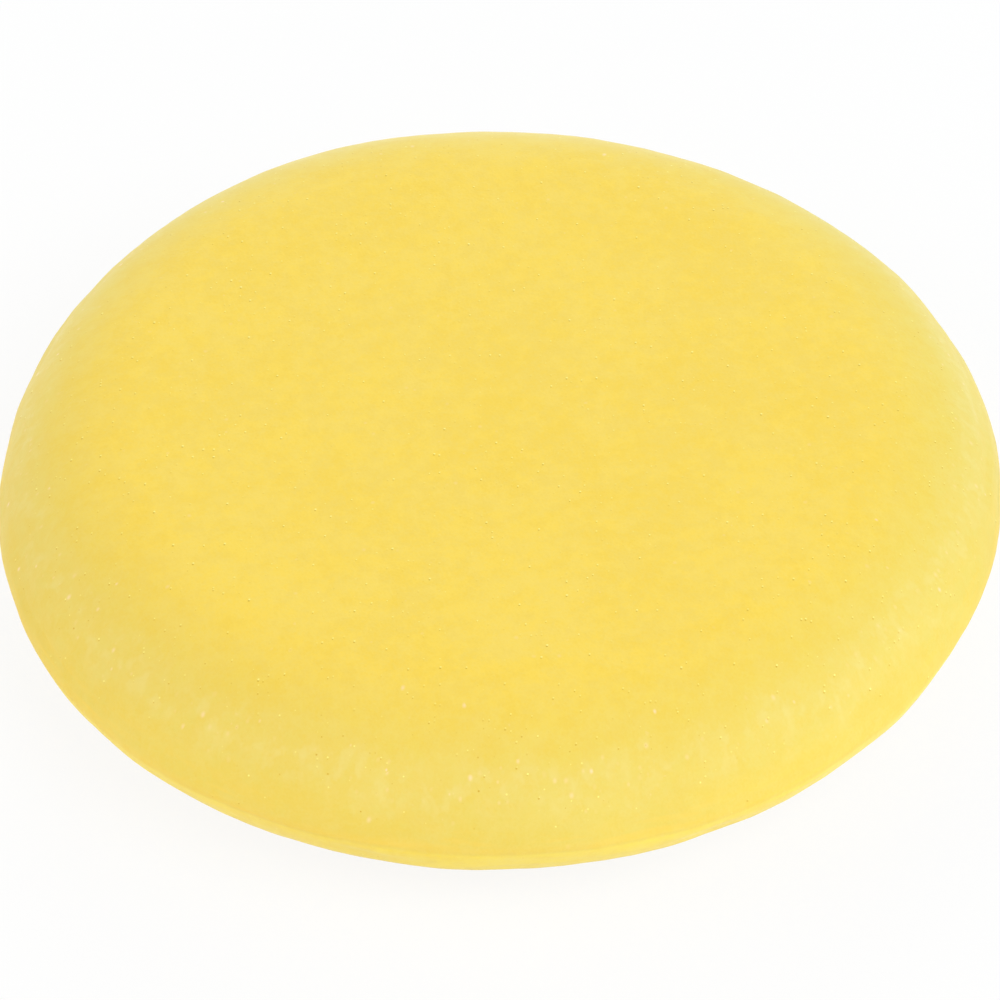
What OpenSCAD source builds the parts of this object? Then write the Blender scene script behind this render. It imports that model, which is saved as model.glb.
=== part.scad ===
// Wax applicator pad: one round disc of soft fine-celled foam.
// It is stamped out while the sheet is squeezed thin under the cutter, and then swells back.
// So both faces are flat in the middle, and roll over in a wide soft rim, one upwards and
// one downwards, to meet in a faint pinch line half way up the wall.
// Millimetres, +Z up. The origin is the centre of the flat face that the pad rests on.

/* [Pad] */
// Diameter across the pinch line, where the pad is widest
pad_d = 100; // [75:1:127]
// Thickness between the two flat faces
pad_t = 21; // [12:0.5:30]

/* [Rim] */
// How far in from the pinch line the faces stop being flat
rim_w = 16; // [6:0.5:32]
// How full the rim's shoulders are: 2 is an ellipse, more is squarer
shoulder_fullness = 2.3; // [1.6:0.1:4]
// How blunt the wall is at the pinch line: 2 is an ellipse, less is more of a ridge
pinch_bluntness = 1.45; // [1.2:0.05:2.6]

/* [Smoothness] */
// Steps round the rim from the pinch line to a flat face
rim_steps = 24; // [10:1:48]

/* [Hidden] */

half_t = pad_t / 2;
flat_r = pad_d / 2 - rim_w;
foam_colour = [0.96, 0.83, 0.38];

// One point of the wall's section. turn goes from 0 at the pinch line to 90 at a flat
// face, and side is 1 for the upper half of the wall and -1 for the lower half.
function rim_point(turn, side) = [
    flat_r + rim_w * pow(cos(turn), 2 / shoulder_fullness),
    half_t + side * half_t * pow(sin(turn), 2 / pinch_bluntness)
];

// The wall from the lower face's edge out to the pinch line and in to the upper face's edge
function rim_section() = concat(
    [for (i = [rim_steps:-1:1]) rim_point(90 * i / rim_steps, -1)],
    [for (i = [0:1:rim_steps]) rim_point(90 * i / rim_steps, 1)]
);

module foam_pad() {
    color(foam_colour)
        rotate_extrude($fn = 180)
            polygon(concat([[0, 0]], rim_section(), [[0, pad_t]]));
}

foam_pad();
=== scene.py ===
"""Looks of a round foam wax applicator pad, laid out as a Blender add-on.

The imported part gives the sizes. The pad is modelled over it as one closed mesh with a
foam material, and stands on a pale stage.
"""

import math

import bpy
import numpy as np
from bpy.props import FloatProperty, FloatVectorProperty, IntProperty, PointerProperty
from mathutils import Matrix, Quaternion, Vector, noise


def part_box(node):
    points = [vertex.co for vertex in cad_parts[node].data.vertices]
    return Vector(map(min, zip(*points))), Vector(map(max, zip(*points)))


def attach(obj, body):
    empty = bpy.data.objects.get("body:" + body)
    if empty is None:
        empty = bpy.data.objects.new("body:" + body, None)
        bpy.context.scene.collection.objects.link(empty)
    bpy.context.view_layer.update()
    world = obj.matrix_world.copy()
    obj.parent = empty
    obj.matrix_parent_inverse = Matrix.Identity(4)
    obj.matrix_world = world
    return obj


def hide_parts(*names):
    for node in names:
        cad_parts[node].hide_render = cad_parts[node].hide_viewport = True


bl_info = {
    "name": "Wax Applicator Pad",
    "version": (1, 0, 0),
    "blender": (4, 5, 0),
    "location": "View3D > Sidebar > Pad",
    "description": "Builds a round foam applicator pad and a pale stage for it",
    "category": "Add Mesh",
}

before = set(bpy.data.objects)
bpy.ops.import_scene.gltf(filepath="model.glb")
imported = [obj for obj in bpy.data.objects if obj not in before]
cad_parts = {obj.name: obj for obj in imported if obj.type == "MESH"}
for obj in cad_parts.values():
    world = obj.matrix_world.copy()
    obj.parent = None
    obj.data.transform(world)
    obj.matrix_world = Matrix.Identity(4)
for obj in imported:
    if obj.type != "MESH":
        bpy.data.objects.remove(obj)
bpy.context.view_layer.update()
PAD_NODE = "foam_pad"
PAD_LOW, PAD_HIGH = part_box(PAD_NODE)
MM = 0.001


# ---------------------------------------------------------------- settings


def length(name, description, default, high=1.0):
    """A size in metres that the user can change."""
    return FloatProperty(
        name=name,
        description=description,
        default=default,
        min=0.0,
        max=high,
        subtype="DISTANCE",
        unit="LENGTH",
        precision=5,
    )


def angle(name, description, degrees):
    """An angle that the user can change, given here in degrees."""
    return FloatProperty(
        name=name,
        description=description,
        default=math.radians(degrees),
        subtype="ANGLE",
        unit="ROTATION",
    )


def share(name, description, default, high=1.0):
    """A plain factor that the user can change."""
    return FloatProperty(
        name=name, description=description, default=default, min=0.0, max=high
    )


def colour(name, description, default):
    """A linear colour that the user can change."""
    return FloatVectorProperty(
        name=name,
        description=description,
        default=default,
        size=3,
        min=0.0,
        max=1.0,
        subtype="COLOR",
    )


class PadShape(bpy.types.PropertyGroup):
    """Sizes of the foam disc."""

    diameter: length("Diameter", "Across the pinch line", PAD_HIGH.x - PAD_LOW.x)
    thickness: length("Thickness", "Between the flat faces", PAD_HIGH.z - PAD_LOW.z)
    rim_width: length("Rim width", "From the pinch line in to a flat face", 16 * MM)
    shoulder_fullness: share("Shoulder fullness", "2 is an ellipse", 2.3, 4.0)
    pinch_bluntness: share("Pinch bluntness", "2 is an ellipse", 1.45, 4.0)
    face_cells: IntProperty(
        name="Face cells",
        description="Quads across a flat face",
        default=148,
        min=16,
        max=150,
    )
    three_sided: length("Three-sided", "Swell of the outline at three places", 0.32 * MM)
    three_turn: angle("Three-sided turn", "Where one of the three swells is", -2.6)
    four_sided: length("Four-sided", "Swell of the outline at four places", 0.25 * MM)
    four_turn: angle("Four-sided turn", "Where one of the four swells is", 33.0)
    face_swell: length("Face swell", "Depth of the faces' soft unevenness", 0.03 * MM)
    rim_swell: length("Rim swell", "Depth of the rim's soft unevenness", 0.16 * MM)
    grain: length("Grain", "Depth of the small lumps left by the cells", 0.035 * MM)
    pinch_wander: length("Pinch wander", "Rise and fall of the pinch line", 0.45 * MM)
    crease: length("Crease", "Depth of the folds beside the pinch line", 0.16 * MM)


class FoamFinish(bpy.types.PropertyGroup):
    """Colours and scale of the foam."""

    foam: colour("Foam", "Colour of the faces", (0.932, 0.676, 0.088))
    # The rim's colour is partly the stretched foam's own tone and partly painted shade and
    # painted sheen toward the edge.
    rim: colour("Rim", "Colour of the rim, where the foam is stretched", (0.785, 0.626, 0.122))
    # Painted light: the wall below the pinch line is paler and brighter, standing in for light
    # bounced up from the floor.
    under: colour("Bounce Lit Under", "Colour of the wall below the pinch line", (0.922, 0.742, 0.114))
    # The pinch colour is partly compressed foam. On the pinch line and in the folds it also
    # serves as painted shade.
    pinch: colour("Pinch", "Colour of the pinch line and its folds", (0.955, 0.641, 0.080))
    # Pale foam also tints the shoulder band, where it is partly a painted sheen.
    pale: colour("Pale foam", "Colour of milky patches and smudges", (0.826, 0.691, 0.230))
    # Deep foam also serves as painted shade in the cell hollows and, in part, on the wall.
    deep: colour("Deep foam", "Colour of hollows and deep patches", (0.826, 0.557, 0.048))
    haze: colour("Haze", "Colour of the shoulder's soft pale spots", (0.97, 0.738, 0.455))
    # Painted shade: the dark side of an open cell, as if the cell were lit from one side.
    pore_shade: colour("Pore Shade", "Colour of the dark side of an open cell", (0.64, 0.37, 0.012))
    # The bright specks are paler, glossier cell walls whose whiteness is partly a painted
    # glint.
    speck: colour("Specks", "Colour of bright cell walls", (1.0, 0.92, 0.288))
    cell: length("Cell", "Width of a foam cell", 0.32 * MM)
    shoulder_in: length("Shoulder band in", "From the pinch line to its middle", 3.2 * MM)
    shoulder_width: length("Shoulder band width", "Width of the stretched band", 3 * MM)
    streak_length: FloatProperty(
        name="Streak length",
        description="How many times longer than wide the shoulder's marks are",
        default=1.5,
        min=1.0,
        max=10.0,
    )


class StageSettings(bpy.types.PropertyGroup):
    """Floor, lights and camera."""

    floor: colour("Floor", "Colour of the floor", (0.92, 0.92, 0.92))
    floor_white: share("Floor white", "How much of the floor shows as plain white", 0.88)
    world_light: share("World light", "Strength of the light from all round", 0.44)
    elevation: angle("Camera elevation", "Height of the view above the floor", 44.3)
    roll: angle("Camera roll", "Turn of the view about its line of sight", -0.72)
    distance: length("Camera distance", "From the pad's middle", 0.505, high=5.0)
    drop: length("Camera drop", "How far below the middle it looks", 2.06 * MM)
    aside: length("Camera aside", "How far right of the middle it looks", 0.24 * MM)
    lens: FloatProperty(
        name="Lens",
        description="Focal length in millimetres",
        default=182.5,
        unit="CAMERA",
    )


# ---------------------------------------------------------------- foam disc

# Widths of the lumps in the foam's surface
WIDE_LUMP = 13 * MM
NARROW_LUMP = 5.5 * MM
GRAIN_LUMP = 1.7 * MM
WANDER_LUMP = 11 * MM
NARROW_DEPTH = 0.6  # of the wide lumps' depth
FACE_GRAIN = 0.45  # depth of the faces' grain, as a share of the rim's
# A place in the noise for each use, so that no two line up
NOISE_SHIFT = {"wide": 3.1, "narrow": 8.4, "grain": 5.2, "folds": 4.9, "wander": 6.3}
# Heights off the pinch line, as shares of half the thickness
WALL_CORE = 0.15  # where what happens on the wall begins to fade
WALL_REACH = 0.75  # where it is gone
FOLDS_START = 0.05
FOLDS_FULL = 0.2
# The surface is uneven from this height up, as a share of half the thickness
OFF_FLOOR = 0.35
FOLD_HEIGHT = 0.95 * MM
FOLD_STRETCH = 9.0  # how many times longer than high a fold is
FOLD_COVER = 0.05  # more than 0 puts folds on more than half of the wall


def rim_point(shape, turn, side):
    """Distance from the axis and height of one point of the wall's section."""
    half = shape.thickness / 2
    flat = shape.diameter / 2 - shape.rim_width
    out = max(math.cos(turn), 0.0) ** (2 / shape.shoulder_fullness)
    up = math.sin(turn) ** (2 / shape.pinch_bluntness)
    return flat + shape.rim_width * out, half + side * half * up


def even_steps(points, gap):
    """The same line with points spaced evenly along it, about gap apart."""
    points = np.array(points)
    steps = np.linalg.norm(np.diff(points, axis=0), axis=1)
    along = np.concatenate([[0.0], np.cumsum(steps)])
    count = max(2, round(along[-1] / gap))
    wanted = np.linspace(0, along[-1], count + 1)
    return np.stack([np.interp(wanted, along, points[:, k]) for k in (0, 1)], axis=1)


def rim_line(shape, gap):
    """The wall's section from the upper face's edge down to the lower face's edge."""
    fine = 400
    turns = [math.pi / 2 * (1 - i / fine) for i in range(fine + 1)]
    upper = even_steps([rim_point(shape, t, 1) for t in turns], gap)
    lower = upper[::-1].copy()
    lower[:, 1] = shape.thickness - lower[:, 1]
    return np.concatenate([upper, lower[1:]])


def disc_point(across, along):
    """A square's point, each part from -1 to 1, moved into a round disc."""
    if across == 0 and along == 0:
        return 0.0, 0.0
    if abs(across) >= abs(along):
        radius, angle = across, math.pi / 4 * along / across
    else:
        radius, angle = along, math.pi / 2 - math.pi / 4 * across / along
    return radius * math.cos(angle), radius * math.sin(angle)


def grid_border(cells):
    """Grid places round a square's edge, anticlockwise from its low corner."""
    run = range(cells)
    return (
        [(i, 0) for i in run]
        + [(cells, i) for i in run]
        + [(cells - i, cells) for i in run]
        + [(0, cells - i) for i in run]
    )


def add_face(shape, points, faces, height, up):
    """Adds a flat face as a square grid moved into a disc; returns its edge loop."""
    cells = shape.face_cells
    flat = shape.diameter / 2 - shape.rim_width
    first = len(points)
    index = {}
    for i in range(cells + 1):
        for j in range(cells + 1):
            x, y = disc_point(2 * i / cells - 1, 2 * j / cells - 1)
            index[i, j] = first + len(index)
            points.append((flat * x, flat * y, height))
    for i in range(cells):
        for j in range(cells):
            quad = [index[i, j], index[i + 1, j], index[i + 1, j + 1], index[i, j + 1]]
            faces.append(quad if up else quad[::-1])
    return [index[place] for place in grid_border(cells)]


def add_wall(shape, points, faces, top_loop, bottom_loop):
    """Adds the rim's rings between the two faces' edge loops."""
    gap = 2 * math.pi * (shape.diameter / 2) / len(top_loop)
    line = rim_line(shape, gap)
    count = len(top_loop)
    loop = top_loop
    for radius, height in line[1:-1]:
        ring = []
        for k in range(count):
            x, y, _ = points[top_loop[k]]
            turn = math.atan2(y, x)
            ring.append(len(points))
            points.append((radius * math.cos(turn), radius * math.sin(turn), height))
        join_loops(faces, loop, ring)
        loop = ring
    join_loops(faces, loop, bottom_loop)


def join_loops(faces, upper, lower):
    """Quads between two rings with the same number of points."""
    count = len(upper)
    for k in range(count):
        after = (k + 1) % count
        faces.append([upper[k], lower[k], lower[after], upper[after]])


def ease(low, high, values):
    """0 below low, 1 above high, and a smooth rise between them."""
    t = np.clip((np.asarray(values) - low) / (high - low), 0.0, 1.0)
    return t * t * (3 - 2 * t)


def lumps(points, width, use):
    """Smooth noise from about -0.5 to 0.5 at each point, its lumps about width across."""
    shift = NOISE_SHIFT[use]
    offset = Vector((shift, shift * 0.37, -shift))
    return np.array([noise.noise(Vector(p) / width + offset) for p in points])


def out_of_round(shape, turn):
    """How far the outline stands out from a true circle at each turn."""
    three = shape.three_sided * np.cos(3 * (turn - shape.three_turn))
    four = shape.four_sided * np.cos(4 * (turn - shape.four_turn))
    return three + four


def surface_swell(shape, points, on_rim):
    """How far soft lumps and grain lift the surface at each point."""
    swell = shape.face_swell + (shape.rim_swell - shape.face_swell) * on_rim
    wide = lumps(points, WIDE_LUMP, "wide")
    narrow = lumps(points, NARROW_LUMP, "narrow")
    grain = shape.grain * (FACE_GRAIN + (1 - FACE_GRAIN) * on_rim)
    soft = swell * (wide + NARROW_DEPTH * narrow)
    return soft + grain * lumps(points, GRAIN_LUMP, "grain")


def fold_depth(shape, points, off_pinch, on_wall):
    """Depth of the fine folds that run round the wall beside the pinch line."""
    half = shape.thickness / 2
    stretched = points / np.array([FOLD_STRETCH, FOLD_STRETCH, 1.0])
    beside = ease(FOLDS_START * half, FOLDS_FULL * half, off_pinch) * on_wall
    folds = np.clip(lumps(stretched, FOLD_HEIGHT, "folds") + FOLD_COVER, 0.0, None)
    return 2 * shape.crease * folds * beside


def uneven_points(shape, points, normals):
    """The pad's points, moved a little so that it looks cut from soft foam."""
    half = shape.thickness / 2
    radius = np.hypot(points[:, 0], points[:, 1])
    turn = np.arctan2(points[:, 1], points[:, 0])
    off_pinch = np.abs(points[:, 2] - half)
    on_rim = ease(shape.diameter / 2 - shape.rim_width, shape.diameter / 2, radius)
    on_wall = 1 - ease(WALL_CORE * half, WALL_REACH * half, off_pinch)
    off_floor = ease(0.0, OFF_FLOOR * half, points[:, 2])

    out = surface_swell(shape, points, on_rim)
    out -= fold_depth(shape, points, off_pinch, on_wall)
    moved = points + normals * (out * off_floor)[:, None]
    grow = 1 + out_of_round(shape, turn) / (shape.diameter / 2) * on_rim
    moved[:, :2] *= grow[:, None]
    level = points * np.array([1.0, 1.0, 0.0])
    wander = shape.pinch_wander * lumps(level, WANDER_LUMP, "wander")
    moved[:, 2] += wander * on_wall
    return moved


def pad_mesh(shape):
    """The foam disc's closed mesh."""
    points, faces = [], []
    top = add_face(shape, points, faces, shape.thickness, True)
    bottom = add_face(shape, points, faces, 0.0, False)
    add_wall(shape, points, faces, top, bottom)
    mesh = bpy.data.meshes.new(PAD_NODE)
    mesh.from_pydata(points, [], faces)
    mesh.update()
    normals = np.zeros(len(points) * 3)
    mesh.vertices.foreach_get("normal", normals)
    moved = uneven_points(shape, np.array(points), normals.reshape(-1, 3))
    mesh.vertices.foreach_set("co", moved.ravel())
    mesh.shade_smooth()
    mesh.update()
    return mesh


# ---------------------------------------------------------------- foam finish

WHITE = (1.0, 1.0, 1.0, 1.0)
# How far out from a flat face's edge the foam starts to look stretched, and the rim's colour,
# partly painted shade and painted sheen, begins
STRETCH_MARGIN = 2 * MM
# How far the shoulder's edges wander in and out
BAND_WANDER = 1.2 * MM
# The rim's colour is full this far out from the middle of the shoulder
RIM_FULL = 1.5 * MM
# Where each band of the rim starts, is full, begins to fade and is gone. The shoulder's
# marks are half widths out from its middle, and the others are mm up from the pinch line.
SHOULDER_MARKS = (-2.2, 0.1, -0.1, 1.7)
# The band below the pinch line carries painted bounce light from the floor. The fold band
# carries painted shade, and the pinch band carries it in part.
WALL_MARKS = {
    "Bounce Lit Under": (0.1, -0.5, -4.5, -9.0),
    "Pinch": (-0.3, 0.2, 0.2, 1.2),
    "Fold Shade": (-0.3, 0.2, 1.0, 3.5),
}
WALL_START = 0.5  # half widths out from the shoulder's middle
WALL_FULL = 0.1 * MM  # in from the pinch line

# Soft patches: their width, detail and roughness
EDGE_PATCHES = (4 * MM, 0.0, 0.5)
MOTTLE_PATCHES = (1.8 * MM, 3.0, 0.7)
CLOUD_PATCHES = (14 * MM, 0.0, 0.5)
MILK_PATCHES = (3.2 * MM, 4.0, 0.85)
FOLD_PATCHES = (0.8 * MM, 1.0, 0.5)
SMUDGE_PATCHES = (1.1 * MM, 2.0, 0.55)
# Where a patch's noise starts to show, and where it is full
DEEP_NOISE = (0.62, 0.38)
MILK_NOISE = (0.35, 0.65)
FOLD_NOISE = (0.48, 0.72)
SMUDGE_NOISE = (0.45, 0.70)
CLOUD_SHARE = 0.25  # of the deep tone, the rest being mottle
SIDEWAYS = (0.1, 0.2, 0.3)  # metres, so that the milky patches don't follow the mottle

# Looks of specks. Smallest and Spread give their sizes as shares of the spacing, Core is
# the share of a speck that is at full strength, and Faintness leaves fewer bright ones.
TINY_SPECKS = {
    "Spacing": 0.50 * MM,
    "Smallest": 0.13,
    "Spread": 0.17,
    "Core": 0.3,
    "Faintness": 1.0,
}
SOFT_SPOTS = {
    "Spacing": 0.80 * MM,
    "Smallest": 0.14,
    "Spread": 0.27,
    "Core": 0.05,
    "Faintness": 3.0,
}
FAINTEST = 0.15  # strength of the faintest speck
# The pore is painted shade, always set on the same side of its bright speck.
PORE_OFFSET = (0.05 * MM, 0.16 * MM, 0.03 * MM)  # from a bright speck to the pore beside it
# Shares of the places that hold a speck
FACE_SPECKS = 0.175
WALL_SPECKS = 0.03
WALL_THINNED = 0.6  # how far into the wall the specks are down to the wall's share
SHOULDER_FEWER = 0.05
FACE_SPOTS = 0.05
SHOULDER_SPOTS = 0.65

# Distances off a cell's middle, in cells, where walls and hollows start and are full
CELL_WALL = (0.45, 0.85)
CELL_HOLLOW = (0.5, 0.1)
CELL_BUMP = {"Strength": 0.2, "Distance": 0.03 * MM}

# What is laid over the foam's colour in turn: where, its greatest share, and its colour. Some
# of these tints are painted light or shade, as noted at each.
TINTS = (
    # rim: partly stretched foam, partly painted shade and painted sheen toward the edge
    ("rim", 1.0, "rim"),
    # under: painted bounce light from the floor on the wall below the pinch line
    ("under", 1.0, "under"),
    # pinch line: partly compressed foam, partly painted shade of the groove above it
    ("pinch line", 0.26, "pinch"),
    ("deep patches", 0.26, "deep"),
    ("milky patches", 0.19, "pale"),
    # cell hollows: painted shade in the cells' recesses
    ("cell hollows", 0.08, "deep"),
    ("cell walls", 0.05, "pale"),
    # shoulder: partly stretched foam, partly a painted sheen
    ("shoulder", 0.13, "pale"),
    # wall: partly denser foam, partly painted shade on the nearly upright wall
    ("wall", 0.06, "deep"),
    # folds: painted shade of the fine creases beside the pinch line
    ("folds", 0.22, "pinch"),
    ("smudges", 0.46, "pale"),
    ("soft spots", 0.85, "haze"),
    # pores: painted shade on one side of each bright speck
    ("shaded_pores", 0.90, "pore_shade"),
    # bright specks: paler cell walls, partly a painted glint
    ("bright specks", 0.95, "speck"),
)
FOAM_ROUGHNESS = 0.80
SPECK_ROUGHNESS = 0.40
FOAM_SHEEN = {
    "Specular IOR Level": 0.25,
    "Sheen Weight": 0.25,
    "Sheen Roughness": 0.4,
    "Sheen Tint": WHITE,
}


# Places of a Mix node's colours among its sockets
MIX_FIRST = 6
MIX_SECOND = 7
MIX_RESULT = 2


def add_node(tree, kind, inputs=None, **settings):
    """Adds a node, fills its inputs with numbers or links, and returns it."""
    node = tree.nodes.new(kind)
    for name, value in settings.items():
        setattr(node, name, value)
    for name, value in (inputs or {}).items():
        if isinstance(value, bpy.types.NodeSocket):
            tree.links.new(value, node.inputs[name])
        else:
            node.inputs[name].default_value = value
    return node


def maths(tree, operation, first, second=0.0, third=0.0):
    """The outcome of one Math node."""
    inputs = {0: first, 1: second, 2: third}
    return add_node(tree, "ShaderNodeMath", inputs, operation=operation).outputs[0]


def vector_maths(tree, operation, inputs, output="Vector"):
    """The outcome of one Vector Math node."""
    node = add_node(tree, "ShaderNodeVectorMath", inputs, operation=operation)
    return node.outputs[output]


def rise(tree, value, low, high, to_low=0.0, to_high=1.0):
    """A smooth step of a value from low to high."""
    inputs = {
        "Value": value,
        "From Min": low,
        "From Max": high,
        "To Min": to_low,
        "To Max": to_high,
    }
    kind = "ShaderNodeMapRange"
    return add_node(tree, kind, inputs, interpolation_type="SMOOTHSTEP").outputs[0]


def band(tree, value, middle, unit, marks):
    """1 in a soft-edged band, whose four marks are in units from the middle."""
    start, full, fading, gone = (middle + unit * mark for mark in marks)
    rising = rise(tree, value, start, full)
    return maths(tree, "MULTIPLY", rising, rise(tree, value, gone, fading))


def blend(tree, amount, first, second):
    """A colour between two, by an amount from 0 to 1."""
    first = first if isinstance(first, bpy.types.NodeSocket) else (*first, 1.0)
    inputs = {0: amount, MIX_FIRST: first, MIX_SECOND: (*second, 1.0)}
    return add_node(tree, "ShaderNodeMix", inputs, data_type="RGBA").outputs[MIX_RESULT]


def patches(tree, place, width, detail, rough):
    """Soft noise from 0 to 1, its patches about width across."""
    inputs = {"Vector": place, "Scale": 1 / width, "Detail": detail, "Roughness": rough}
    return add_node(tree, "ShaderNodeTexNoise", inputs).outputs["Fac"]


def from_axis(tree, place):
    """A place without its height: the way out from the pad's axis."""
    return vector_maths(tree, "MULTIPLY", {0: place, 1: (1.0, 1.0, 0.0)})


def length_of(tree, vector):
    """How long a vector is."""
    return vector_maths(tree, "LENGTH", {0: vector}, "Value")


def new_group(name, inputs, outputs):
    """An empty node group with float inputs and outputs, and a Place to work at."""
    group = bpy.data.node_groups.new(name, "ShaderNodeTree")
    sockets = group.interface
    sockets.new_socket(name="Place", in_out="INPUT", socket_type="NodeSocketVector")
    for label, default in inputs.items():
        made = sockets.new_socket(
            name=label, in_out="INPUT", socket_type="NodeSocketFloat"
        )
        made.default_value = default
    for label in outputs:
        sockets.new_socket(name=label, in_out="OUTPUT", socket_type="NodeSocketFloat")
    start = group.nodes.new("NodeGroupInput")
    end = group.nodes.new("NodeGroupOutput")
    return group, start.outputs, end.inputs


def use_group(tree, group, inputs):
    """Places a node group in a material and returns its outputs."""
    return add_node(tree, "ShaderNodeGroup", inputs, node_tree=group).outputs


def specks_group():
    """Round spots at a share of the places, each of its own size and strength."""
    inputs = {"Share": 0.05, **TINY_SPECKS}
    group, given, out = new_group("specks", inputs, ["Specks"])
    scale = maths(group, "DIVIDE", 1.0, given["Spacing"])
    inputs = {"Vector": given["Place"], "Scale": scale, "Randomness": 1.0}
    cells = add_node(group, "ShaderNodeTexVoronoi", inputs).outputs
    draws = add_node(group, "ShaderNodeSeparateColor", {"Color": cells["Color"]})
    chance, size_draw, strength_draw = draws.outputs
    level = maths(group, "SUBTRACT", 1.0, given["Share"])
    chosen = maths(group, "GREATER_THAN", chance, level)
    size = maths(group, "MULTIPLY_ADD", size_draw, given["Spread"], given["Smallest"])
    near = maths(group, "DIVIDE", cells["Distance"], size)
    spot = rise(group, near, 1.0, given["Core"])
    strength = maths(group, "POWER", strength_draw, given["Faintness"])
    strength = maths(group, "MULTIPLY_ADD", strength, 1 - FAINTEST, FAINTEST)
    shown = maths(group, "MULTIPLY", spot, strength)
    group.links.new(maths(group, "MULTIPLY", shown, chosen), out["Specks"])
    return group


def cells_group(finish):
    """The foam's open cells: the walls between them, and the hollows in their middles."""
    outputs = ["Walls", "Hollows"]
    group, given, out = new_group("foam cells", {"Cell": finish.cell}, outputs)
    scale = maths(group, "DIVIDE", 1.0, given["Cell"])
    inputs = {"Vector": given["Place"], "Scale": scale}
    off_middle = add_node(group, "ShaderNodeTexVoronoi", inputs).outputs["Distance"]
    group.links.new(rise(group, off_middle, *CELL_WALL), out["Walls"])
    group.links.new(rise(group, off_middle, *CELL_HOLLOW), out["Hollows"])
    return group


def stretch_edge(shape):
    """Distance from the axis at which the foam starts to look stretched and the rim's colour,
    partly painted shade and sheen, begins.
    """
    return shape.diameter / 2 - shape.rim_width + STRETCH_MARGIN


def rim_group(shape, finish):
    """Where the rim is: its colour, its shoulder, which is stretched foam with a painted
    sheen, and the bands of its wall, which carry painted shade and painted bounce light.
    """
    outputs = ["Rim", "Shoulder", "Wall", *WALL_MARKS]
    group, given, out = new_group("rim bands", {"Wander": 0.0}, outputs)
    radius = length_of(group, from_axis(group, given["Place"]))
    uneven = maths(group, "ADD", radius, given["Wander"])
    height = add_node(group, "ShaderNodeSeparateXYZ", {0: given["Place"]}).outputs["Z"]
    edge = shape.diameter / 2
    middle = edge - finish.shoulder_in
    half = finish.shoulder_width / 2
    wall_start = middle + WALL_START * half
    masks = {
        "Rim": rise(group, radius, stretch_edge(shape), middle + RIM_FULL),
        "Shoulder": band(group, uneven, middle, half, SHOULDER_MARKS),
        "Wall": rise(group, uneven, wall_start, edge - WALL_FULL),
    }
    for name, marks in WALL_MARKS.items():
        masks[name] = band(group, height, shape.thickness / 2, MM, marks)
    for name, mask in masks.items():
        group.links.new(mask, out[name])
    return group


def rim_masks(tree, place, shape, finish):
    """Where the rim's bands are, with the shoulder's edges made uneven."""
    uneven = patches(tree, place, *EDGE_PATCHES)
    wander = maths(tree, "MULTIPLY_ADD", uneven, 2 * BAND_WANDER, -BAND_WANDER)
    inputs = {"Place": place, "Wander": wander}
    return use_group(tree, rim_group(shape, finish), inputs)


def fibres(tree, place, shape, finish):
    """Places as they are on the faces, and stretched up and down the rim's section."""
    flat = from_axis(tree, place)
    outward = vector_maths(tree, "NORMALIZE", {0: flat})
    on_face = maths(tree, "MINIMUM", length_of(tree, flat), stretch_edge(shape))
    squeeze = 1 / finish.streak_length
    kept = maths(tree, "MULTIPLY", on_face, 1 - squeeze)
    ring = vector_maths(tree, "SCALE", {0: outward, "Scale": kept})
    inputs = {0: place, 1: (squeeze, squeeze, squeeze), 2: ring}
    return vector_maths(tree, "MULTIPLY_ADD", inputs)


def patch_masks(tree, place):
    """Where the foam looks deeper, and where it looks milkier."""
    cloud = maths(tree, "MULTIPLY", patches(tree, place, *CLOUD_PATCHES), CLOUD_SHARE)
    mottle = patches(tree, place, *MOTTLE_PATCHES)
    shade = maths(tree, "MULTIPLY_ADD", mottle, 1 - CLOUD_SHARE, cloud)
    aside = vector_maths(tree, "ADD", {0: place, 1: SIDEWAYS})
    milk = patches(tree, aside, *MILK_PATCHES)
    return {
        "deep patches": rise(tree, shade, *DEEP_NOISE),
        "milky patches": rise(tree, milk, *MILK_NOISE),
    }


def speck_masks(tree, place, along, rim):
    """Where the bright specks, the painted shade of the pores beside them and the soft pale
    spots are. The specks' pale colour is partly a painted glint.
    """
    group = specks_group()
    beside = vector_maths(tree, "ADD", {0: place, 1: PORE_OFFSET})
    few = rise(tree, rim["Wall"], 0.0, WALL_THINNED, FACE_SPECKS, WALL_SPECKS)
    few = maths(tree, "MULTIPLY_ADD", rim["Shoulder"], -SHOULDER_FEWER, few)
    many = rise(tree, rim["Shoulder"], 0.0, 1.0, FACE_SPOTS, SHOULDER_SPOTS)
    masks = {}
    for name, where, amount, look in (
        ("bright specks", place, few, TINY_SPECKS),
        ("shaded_pores", beside, few, TINY_SPECKS),
        ("soft spots", along, many, SOFT_SPOTS),
    ):
        inputs = {"Place": where, "Share": amount, **look}
        masks[name] = use_group(tree, group, inputs)["Specks"]
    return masks


def rim_mark_masks(tree, place, along, rim):
    """Where the shoulder's pale smudges are, and the painted shade of the folds beside the
    pinch line.
    """
    squeeze = 1 / FOLD_STRETCH
    level = vector_maths(tree, "MULTIPLY", {0: place, 1: (squeeze, squeeze, 1.0)})
    folds = rise(tree, patches(tree, level, *FOLD_PATCHES), *FOLD_NOISE)
    smudges = rise(tree, patches(tree, along, *SMUDGE_PATCHES), *SMUDGE_NOISE)
    return {
        "folds": maths(tree, "MULTIPLY", folds, rim["Fold Shade"]),
        "smudges": maths(tree, "MULTIPLY", smudges, rim["Shoulder"]),
    }


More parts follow.
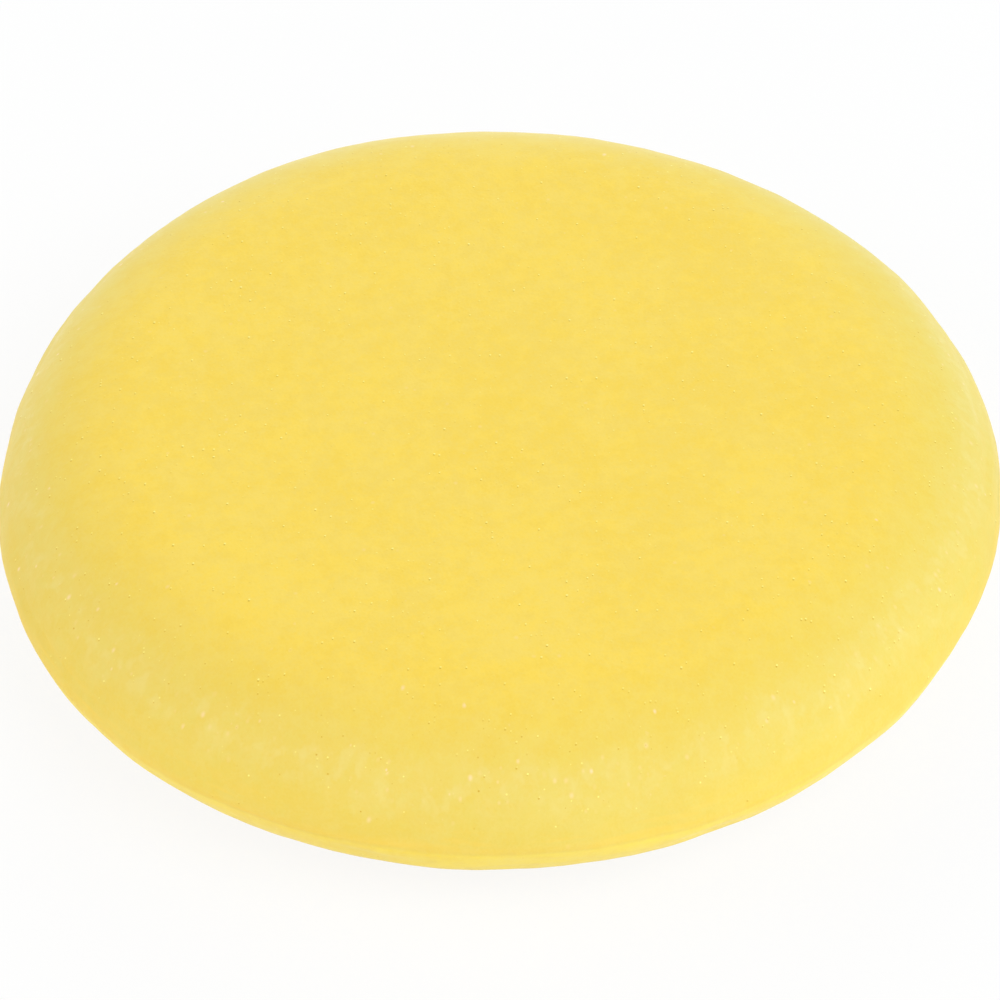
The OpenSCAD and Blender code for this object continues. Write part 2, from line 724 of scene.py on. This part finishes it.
def foam_masks(tree, place, shape, finish):
    """Where each mark in TINTS lies, by name."""
    rim = rim_masks(tree, place, shape, finish)
    along = fibres(tree, place, shape, finish)
    cells = use_group(tree, cells_group(finish), {"Place": place, "Cell": finish.cell})
    return {
        "rim": rim["Rim"],
        "under": rim["Bounce Lit Under"],
        "pinch line": rim["Pinch"],
        "shoulder": rim["Shoulder"],
        "wall": rim["Wall"],
        "cell walls": cells["Walls"],
        "cell hollows": cells["Hollows"],
        **patch_masks(tree, place),
        **speck_masks(tree, place, along, rim),
        **rim_mark_masks(tree, place, along, rim),
    }


def foam_colour(tree, masks, finish):
    """The foam's colour, with each of TINTS laid over it."""
    tint = finish.foam
    for name, most, tint_name in TINTS:
        amount = maths(tree, "MULTIPLY", masks[name], most)
        tint = blend(tree, amount, tint, getattr(finish, tint_name))
    return tint


def foam_bump(tree, masks):
    """Fine relief: raised cell walls and sunk hollows."""
    height = maths(tree, "SUBTRACT", masks["cell walls"], masks["cell hollows"])
    inputs = {"Height": height, **CELL_BUMP}
    return add_node(tree, "ShaderNodeBump", inputs).outputs[0]


def foam_material(shape, finish):
    """Fine open-celled foam: matt, a little hazy, with bright specks whose pale colour is
    partly a painted glint.
    """
    material = bpy.data.materials.new("foam")
    material.use_nodes = True
    tree = material.node_tree
    shader = tree.nodes["Principled BSDF"]
    place = add_node(tree, "ShaderNodeTexCoord").outputs["Object"]
    masks = foam_masks(tree, place, shape, finish)
    glossier = SPECK_ROUGHNESS - FOAM_ROUGHNESS
    rough = maths(
        tree, "MULTIPLY_ADD", masks["bright specks"], glossier, FOAM_ROUGHNESS
    )
    tree.links.new(foam_colour(tree, masks, finish), shader.inputs["Base Color"])
    tree.links.new(rough, shader.inputs["Roughness"])
    tree.links.new(foam_bump(tree, masks), shader.inputs["Normal"])
    for name, value in FOAM_SHEEN.items():
        shader.inputs[name].default_value = value
    return material


class WAXPAD_OT_foam_pad(bpy.types.Operator):
    """Builds the foam disc over its solid"""

    bl_idname = "waxpad.foam_pad"
    bl_label = "Foam Pad"
    bl_options = {"REGISTER", "UNDO"}

    def execute(self, context):
        shape = context.scene.pad_shape
        pad = bpy.data.objects.new("foam_disc", pad_mesh(shape))
        context.scene.collection.objects.link(pad)
        pad.data.materials.append(foam_material(shape, context.scene.foam_finish))
        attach(pad, "root")
        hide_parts(PAD_NODE)
        return {"FINISHED"}


# ---------------------------------------------------------------- stage

FLOOR_REACH = 3.0
LAMP_WIDTH = 0.6
# Each lamp's name, turn and height in degrees, watts and tint
LAMPS = (
    ("key lamp", -45, 50, 3.7, (1.0, 1.0, 1.0)),
    ("right lamp", -5, 20, 3.2, (0.80, 0.91, 1.0)),
    ("back lamp", 90, 20, 4.3, (0.80, 0.92, 1.0)),
    ("left lamp", 180, 20, 3.7, (1.0, 0.94, 0.80)),
    ("front lamp", -90, 8, 3.1, (1.0, 0.92, 0.80)),
)


def seen_ray(tree):
    """1 where a ray comes straight from the camera, a mirror or glass, else 0."""
    rays = add_node(tree, "ShaderNodeLightPath").outputs
    seen = maths(tree, "MAXIMUM", rays["Is Camera Ray"], rays["Is Glossy Ray"])
    return maths(tree, "MAXIMUM", seen, rays["Is Transmission Ray"])


def mix_shaders(tree, amount, first, second):
    """A mix of two shaders, by an amount from 0 to 1."""
    inputs = {0: amount, 1: first, 2: second}
    return add_node(tree, "ShaderNodeMixShader", inputs).outputs[0]


def white_to_camera(tree, surface, share_white):
    """Mixes a shader with plain white where it is seen directly or mirrored."""
    amount = maths(tree, "MULTIPLY", seen_ray(tree), share_white)
    white = add_node(tree, "ShaderNodeEmission", {"Color": WHITE}).outputs[0]
    return mix_shaders(tree, amount, surface, white)


def floor_material(stage):
    """Pale paper that shows nearly white and still takes a shadow."""
    material = bpy.data.materials.new("floor")
    material.use_nodes = True
    tree = material.node_tree
    tree.nodes.clear()
    inputs = {"Color": (*stage.floor, 1.0)}
    paper = add_node(tree, "ShaderNodeBsdfDiffuse", inputs).outputs[0]
    shown = white_to_camera(tree, paper, stage.floor_white)
    add_node(tree, "ShaderNodeOutputMaterial", {"Surface": shown})
    return material


def add_floor(context, stage):
    """A wide pale floor that keeps the pad's shadow."""
    mesh = bpy.data.meshes.new("floor")
    signs = ((-1, -1), (1, -1), (1, 1), (-1, 1))
    corners = [(FLOOR_REACH * x, FLOOR_REACH * y, 0) for x, y in signs]
    mesh.from_pydata(corners, [], [(0, 1, 2, 3)])
    floor = bpy.data.objects.new("floor", mesh)
    context.scene.collection.objects.link(floor)
    mesh.materials.append(floor_material(stage))


def add_world(context, stage):
    """Even soft light from all round, in front of a white backdrop."""
    world = bpy.data.worlds.new("world")
    world.use_nodes = True
    tree = world.node_tree
    tree.nodes.clear()
    inputs = {"Color": WHITE, "Strength": stage.world_light}
    room = add_node(tree, "ShaderNodeBackground", inputs).outputs[0]
    inputs = {"Color": WHITE, "Strength": 1.0}
    backdrop = add_node(tree, "ShaderNodeBackground", inputs).outputs[0]
    shown = mix_shaders(tree, seen_ray(tree), room, backdrop)
    add_node(tree, "ShaderNodeOutputWorld", {"Surface": shown})
    context.scene.world = world


def add_lamp(context, name, turn, height, watts, tint):
    """A square soft lamp a metre away that points at the pad; angles in degrees."""
    turn, height = math.radians(turn), math.radians(height)
    flat = math.cos(height)
    place = Vector((flat * math.cos(turn), flat * math.sin(turn), math.sin(height)))
    data = bpy.data.lights.new(name, "AREA")
    data.size = LAMP_WIDTH
    data.energy = watts
    data.color = tint
    lamp = bpy.data.objects.new(name, data)
    lamp.location = place
    lamp.rotation_euler = (-place).to_track_quat("-Z", "Y").to_euler()
    context.scene.collection.objects.link(lamp)


def add_camera(context, stage, middle):
    """A camera at the height and distance of the view."""
    data = bpy.data.cameras.new("camera")
    data.lens = stage.lens
    camera = bpy.data.objects.new("camera", data)
    back = Vector((0, -math.cos(stage.elevation), math.sin(stage.elevation)))
    up = Vector((0, math.sin(stage.elevation), math.cos(stage.elevation)))
    aim = middle + Vector((1, 0, 0)) * stage.aside - up * stage.drop
    camera.location = middle + back * stage.distance
    sight = aim - camera.location
    turn = sight.to_track_quat("-Z", "Y") @ Quaternion((0, 0, 1), stage.roll)
    camera.rotation_euler = turn.to_euler()
    context.scene.collection.objects.link(camera)
    context.scene.camera = camera


class WAXPAD_OT_stage(bpy.types.Operator):
    """Adds the floor, the lamps and the camera"""

    bl_idname = "waxpad.stage"
    bl_label = "Stage"
    bl_options = {"REGISTER", "UNDO"}

    def execute(self, context):
        stage = context.scene.pad_stage
        add_floor(context, stage)
        for lamp in LAMPS:
            add_lamp(context, *lamp)
        add_world(context, stage)
        context.scene.view_settings.view_transform = "Standard"
        add_camera(context, stage, (PAD_LOW + PAD_HIGH) / 2)
        return {"FINISHED"}


class WAXPAD_PT_panel(bpy.types.Panel):
    """Lists the pad's steps and settings"""

    bl_label = "Wax Applicator Pad"
    bl_space_type = "VIEW_3D"
    bl_region_type = "UI"
    bl_category = "Pad"

    def draw(self, context):
        layout = self.layout
        for owner in ("pad_shape", "foam_finish", "pad_stage"):
            settings = getattr(context.scene, owner)
            for name in settings.__annotations__:
                layout.prop(settings, name)
        layout.operator(WAXPAD_OT_foam_pad.bl_idname)
        layout.operator(WAXPAD_OT_stage.bl_idname)


CLASSES = (
    PadShape,
    FoamFinish,
    StageSettings,
    WAXPAD_OT_foam_pad,
    WAXPAD_OT_stage,
    WAXPAD_PT_panel,
)


def register():
    """Adds the classes, and the settings to the scene."""
    for cls in CLASSES:
        bpy.utils.register_class(cls)
    bpy.types.Scene.pad_shape = PointerProperty(type=PadShape)
    bpy.types.Scene.foam_finish = PointerProperty(type=FoamFinish)
    bpy.types.Scene.pad_stage = PointerProperty(type=StageSettings)


def unregister():
    """Takes the settings and the classes away again."""
    del bpy.types.Scene.pad_stage
    del bpy.types.Scene.foam_finish
    del bpy.types.Scene.pad_shape
    for cls in reversed(CLASSES):
        bpy.utils.unregister_class(cls)


def main():
    """Builds the pad and its stage."""
    register()
    bpy.ops.waxpad.foam_pad()
    bpy.ops.waxpad.stage()


if __name__ == "__main__":
    main()
